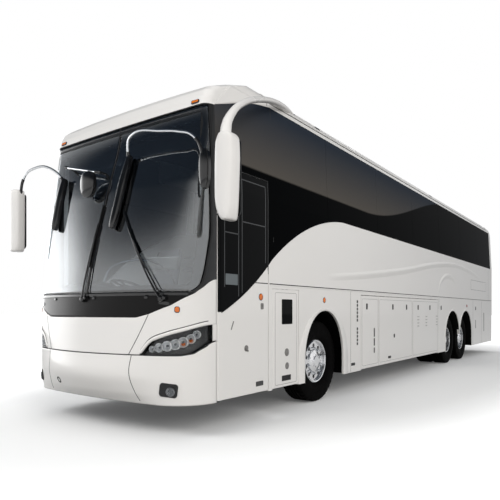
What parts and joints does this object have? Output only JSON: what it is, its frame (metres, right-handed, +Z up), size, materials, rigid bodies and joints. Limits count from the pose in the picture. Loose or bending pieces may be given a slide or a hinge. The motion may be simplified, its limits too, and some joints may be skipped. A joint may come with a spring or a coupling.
{
  "type": "coach bus",
  "caption": "High-floor touring coach with glazed saloon, entrance door, luggage bay doors, steered front wheels, twin drive wheels and a tag axle.",
  "frame": {"origin": "on the ground, under the middle of the coach's length and width", "axes": "+Z up, front of the coach towards -Y, its own left side with the entrance door towards +X"},
  "size_m": [3.5299, 13.6998, 3.79],
  "materials": {
    "body_white": "gloss",
    "black_glass": "gloss",
    "clear_glass": "gloss",
    "black_plastic": "satin",
    "lamp_lens": "gloss",
    "amber_lens": "gloss",
    "red_lens": "gloss",
    "tyre_rubber": "matte",
    "polished_aluminium": "polished",
    "chassis_steel": "satin",
    "floor_covering": "matte",
    "seat_fabric": "matte",
    "trim_grey": "satin"
  },
  "bodies": {
    "coach_body": {"side_wall_left": "body_white", "side_wall_right": "body_white", "front_bumper": "body_white", "front_mask": "body_white", "cowl_panel": "black_glass", "front_pillars": "black_plastic", "windshield": "clear_glass", "headlamps": "lamp_lens", "roof_front_cap": "body_white", "roof": "body_white", "rear_wall": "body_white", "rear_glass": "black_glass", "tail_lamps": "red_lens", "side_glass_left": "black_glass", "side_glass_right": "black_glass", "cabin_floor": "floor_covering", "cab_floor": "floor_covering", "bay_floor": "chassis_steel", "underframe": "chassis_steel", "engine": "chassis_steel", "seats": "seat_fabric", "parcel_racks": "trim_grey", "dashboard": "black_plastic", "steering_wheel": "black_plastic", "driver_seat": "seat_fabric", "mirror_left": "body_white", "mirror_right": "body_white", "mirror_centre": "black_plastic", "wipers": "black_plastic", "mirror_brackets": "black_plastic", "mirror_arms": "polished_aluminium", "marker_lamps": "amber_lens", "front_axle": "chassis_steel", "drive_axle": "chassis_steel", "tag_axle": "chassis_steel"},
    "entrance_door_leaf": {"entrance_door": "body_white", "entrance_door_glass": "black_glass"},
    "service_door_leaf": {"service_door_left": "body_white"},
    "engine_door_leaf": {"engine_door": "body_white"},
    "bay_leaf_left_1": {"bay_door_left_1": "body_white"},
    "bay_leaf_left_2": {"bay_door_left_2": "body_white"},
    "bay_leaf_left_3": {"bay_door_left_3": "body_white"},
    "bay_leaf_right_1": {"bay_door_right_1": "body_white"},
    "bay_leaf_right_2": {"bay_door_right_2": "body_white"},
    "bay_leaf_right_3": {"bay_door_right_3": "body_white"},
    "steering_knuckle_left": {"front_knuckle_left": "chassis_steel"},
    "front_wheel_left": {"front_rim_left": "polished_aluminium", "front_tyre_left": "tyre_rubber"},
    "drive_wheels_left": {"drive_rims_left": "polished_aluminium", "drive_tyres_left": "tyre_rubber"},
    "tag_wheel_left": {"tag_rim_left": "polished_aluminium", "tag_tyre_left": "tyre_rubber"},
    "steering_knuckle_right": {"front_knuckle_right": "chassis_steel"},
    "front_wheel_right": {"front_rim_right": "polished_aluminium", "front_tyre_right": "tyre_rubber"},
    "drive_wheels_right": {"drive_rims_right": "polished_aluminium", "drive_tyres_right": "tyre_rubber"},
    "tag_wheel_right": {"tag_rim_right": "polished_aluminium", "tag_tyre_right": "tyre_rubber"}
  },
  "joints": [
    {"name": "entrance_door_hinge", "type": "hinge", "parent": "coach_body", "child": "entrance_door_leaf", "pos_m": [1.25, -6.155, 1.5], "axis": [0, 0, -1], "range_deg": [0, 88]},
    {"name": "service_door_hinge", "type": "hinge", "parent": "coach_body", "child": "service_door_leaf", "pos_m": [1.25, -5.18, 0.9], "axis": [0, 0, -1], "range_deg": [0, 88]},
    {"name": "engine_door_hinge", "type": "hinge", "parent": "coach_body", "child": "engine_door_leaf", "pos_m": [0, 6.825, 1.915], "axis": [1, 0, 0], "range_deg": [0, 80]},
    {"name": "bay_left_1_hinge", "type": "hinge", "parent": "coach_body", "child": "bay_leaf_left_1", "pos_m": [1.25, -2.45, 1.425], "axis": [0, -1, 0], "range_deg": [0, 85]},
    {"name": "bay_left_2_hinge", "type": "hinge", "parent": "coach_body", "child": "bay_leaf_left_2", "pos_m": [1.25, -1.2875, 1.425], "axis": [0, -1, 0], "range_deg": [0, 85]},
    {"name": "bay_left_3_hinge", "type": "hinge", "parent": "coach_body", "child": "bay_leaf_left_3", "pos_m": [1.25, 0.3575, 1.425], "axis": [0, -1, 0], "range_deg": [0, 85]},
    {"name": "bay_right_1_hinge", "type": "hinge", "parent": "coach_body", "child": "bay_leaf_right_1", "pos_m": [-1.25, -2.45, 1.425], "axis": [0, 1, 0], "range_deg": [0, 85]},
    {"name": "bay_right_2_hinge", "type": "hinge", "parent": "coach_body", "child": "bay_leaf_right_2", "pos_m": [-1.25, -1.2875, 1.425], "axis": [0, 1, 0], "range_deg": [0, 85]},
    {"name": "bay_right_3_hinge", "type": "hinge", "parent": "coach_body", "child": "bay_leaf_right_3", "pos_m": [-1.25, 0.3575, 1.425], "axis": [0, 1, 0], "range_deg": [0, 85]},
    {"name": "steer_left", "type": "hinge", "parent": "coach_body", "child": "steering_knuckle_left", "pos_m": [0.88, -3.95, 0.538], "axis": [0, 0, 1], "range_deg": [-40, 40]},
    {"name": "front_wheel_left_roll", "type": "hinge", "parent": "steering_knuckle_left", "child": "front_wheel_left", "pos_m": [1.0175, -3.95, 0.538], "axis": [1, 0, 0], "continuous": true},
    {"name": "drive_wheels_left_roll", "type": "hinge", "parent": "coach_body", "child": "drive_wheels_left", "pos_m": [0.845, 2.33, 0.538], "axis": [1, 0, 0], "continuous": true},
    {"name": "tag_wheel_left_roll", "type": "hinge", "parent": "coach_body", "child": "tag_wheel_left", "pos_m": [1.0175, 3.55, 0.538], "axis": [1, 0, 0], "continuous": true},
    {"name": "steer_right", "type": "hinge", "parent": "coach_body", "child": "steering_knuckle_right", "pos_m": [-0.88, -3.95, 0.538], "axis": [0, 0, 1], "range_deg": [-40, 40]},
    {"name": "front_wheel_right_roll", "type": "hinge", "parent": "steering_knuckle_right", "child": "front_wheel_right", "pos_m": [-1.0175, -3.95, 0.538], "axis": [1, 0, 0], "continuous": true},
    {"name": "drive_wheels_right_roll", "type": "hinge", "parent": "coach_body", "child": "drive_wheels_right", "pos_m": [-0.845, 2.33, 0.538], "axis": [1, 0, 0], "continuous": true},
    {"name": "tag_wheel_right_roll", "type": "hinge", "parent": "coach_body", "child": "tag_wheel_right", "pos_m": [-1.0175, 3.55, 0.538], "axis": [1, 0, 0], "continuous": true}
  ],
  "couplings": [
    {"joint": "steer_right", "follows": "steer_left", "ratio": 1}
  ]
}
